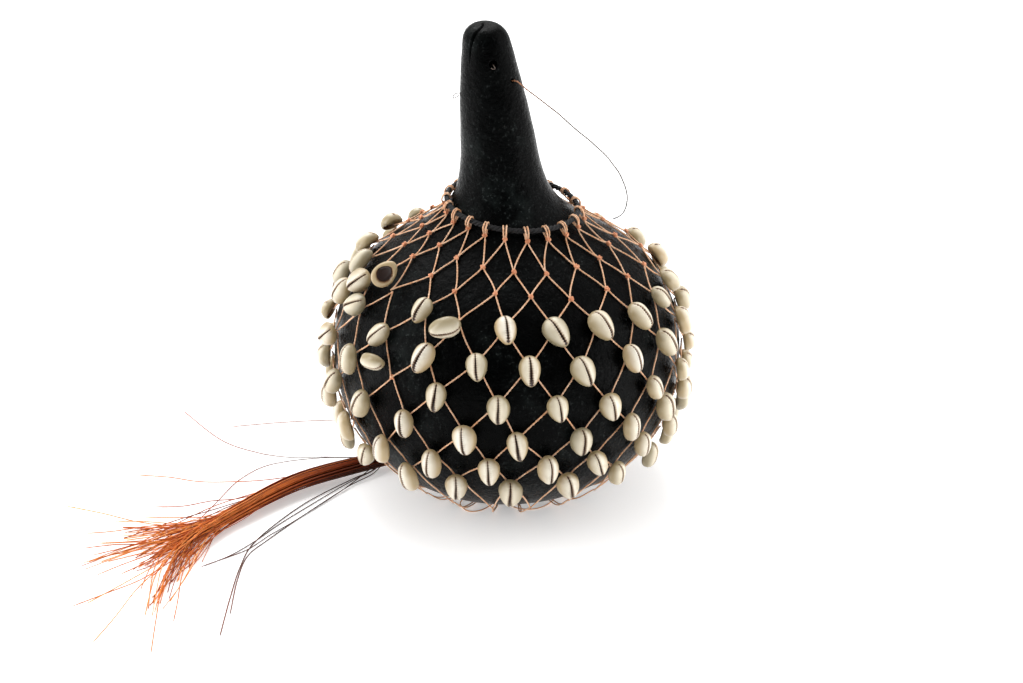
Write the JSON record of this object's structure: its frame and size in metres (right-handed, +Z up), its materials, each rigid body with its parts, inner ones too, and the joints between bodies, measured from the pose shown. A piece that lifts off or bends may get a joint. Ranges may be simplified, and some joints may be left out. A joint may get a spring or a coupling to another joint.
{
  "type": "shekere gourd rattle",
  "caption": "Black lacquered calabash gourd rattle standing on its base, in a loose knotted net strung with cowrie shells, hung from a neck cord and gathered into a fibre tail.",
  "frame": {"origin": "centre of the flat foot that the gourd stands on", "axes": "+Z up along the gourd's axis to the neck; -Y is the front of the reference view; the tail lies towards -X"},
  "size_m": [0.3875, 0.3248, 0.2965],
  "materials": {
    "black_lacquer": "black gloss lacquer over calabash, lightly mottled",
    "cowrie_shell": "polished natural cowrie shell, cream with a grey-yellow tint",
    "copper_cord": "tight twisted synthetic cord, copper",
    "black_cord": "black braided cord",
    "rust_fibre": "loose rust-orange synthetic fibre strands",
    "copper_thread": "thin waxed thread"
  },
  "bodies": {
    "gourd": {"gourd": "black_lacquer", "tether_thread": "copper_thread"},
    "collar": {"collar_ring": "black_cord", "collar_loop_01": "copper_cord", "collar_loop_02": "copper_cord", "collar_loop_03": "copper_cord", "collar_loop_04": "copper_cord", "collar_loop_05": "copper_cord", "collar_loop_06": "copper_cord", "collar_loop_07": "copper_cord", "collar_loop_08": "copper_cord", "collar_loop_09": "copper_cord", "collar_loop_10": "copper_cord", "collar_loop_11": "copper_cord", "collar_loop_12": "copper_cord", "collar_loop_13": "copper_cord", "collar_loop_14": "copper_cord", "collar_loop_15": "copper_cord", "collar_loop_16": "copper_cord", "collar_loop_17": "copper_cord", "collar_loop_18": "copper_cord", "collar_loop_19": "copper_cord", "collar_loop_20": "copper_cord"},
    "net_a": {"net_tier_a": "copper_cord"},
    "net_b": {"net_tier_b": "copper_cord"},
    "row_1": {"cowries_row1_front": "cowrie_shell", "cowries_row1_right": "cowrie_shell", "cowries_row1_left": "cowrie_shell"},
    "row_2": {"cowries_row2_front": "cowrie_shell", "cowries_row2_right": "cowrie_shell", "cowries_row2_left": "cowrie_shell"},
    "row_3": {"cowries_row3_front": "cowrie_shell", "cowries_row3_right": "cowrie_shell", "cowries_row3_left": "cowrie_shell"},
    "row_4": {"cowries_row4_front": "cowrie_shell", "cowries_row4_right": "cowrie_shell", "cowries_row4_left": "cowrie_shell"},
    "row_5": {"cowries_row5_front": "cowrie_shell", "cowries_row5_right": "cowrie_shell", "cowries_row5_left": "cowrie_shell"},
    "row_6": {"cowries_row6_front": "cowrie_shell", "cowries_row6_right": "cowrie_shell", "cowries_row6_left": "cowrie_shell"},
    "underside": {"net_hem": "copper_cord", "underside_cords_front": "copper_cord", "underside_cords_back": "copper_cord", "net_binding": "copper_cord"},
    "tail_root": {"tail_root": "rust_fibre"},
    "tail": {"tail_bundle": "rust_fibre", "tail_wisp_1": "rust_fibre", "tail_wisp_2": "rust_fibre", "tail_wisp_3": "rust_fibre", "tail_wisp_4": "rust_fibre", "tail_wisp_5": "rust_fibre", "tail_wisp_6": "rust_fibre"}
  },
  "joints": [
    {"name": "net_twist", "type": "hinge", "parent": "gourd", "child": "collar", "pos_m": [0, 0, 0.182], "axis": [0, 0, 1], "range_deg": [-30, 30]},
    {"name": "skew_net_a", "type": "hinge", "parent": "collar", "child": "net_a", "pos_m": [0, 0, 0.1], "axis": [0, 0, 1], "range_deg": [-1.5, 1.5]},
    {"name": "skew_net_b", "type": "hinge", "parent": "net_a", "child": "net_b", "pos_m": [0, 0, 0.1], "axis": [0, 0, 1], "range_deg": [-1.5, 1.5]},
    {"name": "skew_row_1", "type": "hinge", "parent": "net_b", "child": "row_1", "pos_m": [0, 0, 0.1], "axis": [0, 0, 1], "range_deg": [-1.5, 1.5]},
    {"name": "skew_row_2", "type": "hinge", "parent": "row_1", "child": "row_2", "pos_m": [0, 0, 0.1], "axis": [0, 0, 1], "range_deg": [-1.5, 1.5]},
    {"name": "skew_row_3", "type": "hinge", "parent": "row_2", "child": "row_3", "pos_m": [0, 0, 0.1], "axis": [0, 0, 1], "range_deg": [-1.5, 1.5]},
    {"name": "skew_row_4", "type": "hinge", "parent": "row_3", "child": "row_4", "pos_m": [0, 0, 0.1], "axis": [0, 0, 1], "range_deg": [-1.5, 1.5]},
    {"name": "skew_row_5", "type": "hinge", "parent": "row_4", "child": "row_5", "pos_m": [0, 0, 0.1], "axis": [0, 0, 1], "range_deg": [-1.5, 1.5]},
    {"name": "skew_row_6", "type": "hinge", "parent": "row_5", "child": "row_6", "pos_m": [0, 0, 0.1], "axis": [0, 0, 1], "range_deg": [-1.5, 1.5]},
    {"name": "skew_underside", "type": "hinge", "parent": "row_6", "child": "underside", "pos_m": [0, 0, 0.1], "axis": [0, 0, 1], "range_deg": [-1.5, 1.5]},
    {"name": "tail_swing", "type": "hinge", "parent": "underside", "child": "tail_root", "pos_m": [-0.0762, 0.0056, 0.0063], "axis": [0, 0, 1], "range_deg": [-18, 18]},
    {"name": "tail_lift", "type": "hinge", "parent": "tail_root", "child": "tail", "pos_m": [-0.116, -0.017, 0.0072], "axis": [-0.4938, 0.8696, 0], "range_deg": [0, 60]}
  ],
  "couplings": [
    {"joint": "skew_net_b", "follows": "skew_net_a", "ratio": 1},
    {"joint": "skew_row_1", "follows": "skew_net_a", "ratio": 1},
    {"joint": "skew_row_2", "follows": "skew_net_a", "ratio": 1},
    {"joint": "skew_row_3", "follows": "skew_net_a", "ratio": 1},
    {"joint": "skew_row_4", "follows": "skew_net_a", "ratio": 1},
    {"joint": "skew_row_5", "follows": "skew_net_a", "ratio": 1},
    {"joint": "skew_row_6", "follows": "skew_net_a", "ratio": 1},
    {"joint": "skew_underside", "follows": "skew_net_a", "ratio": 1}
  ]
}
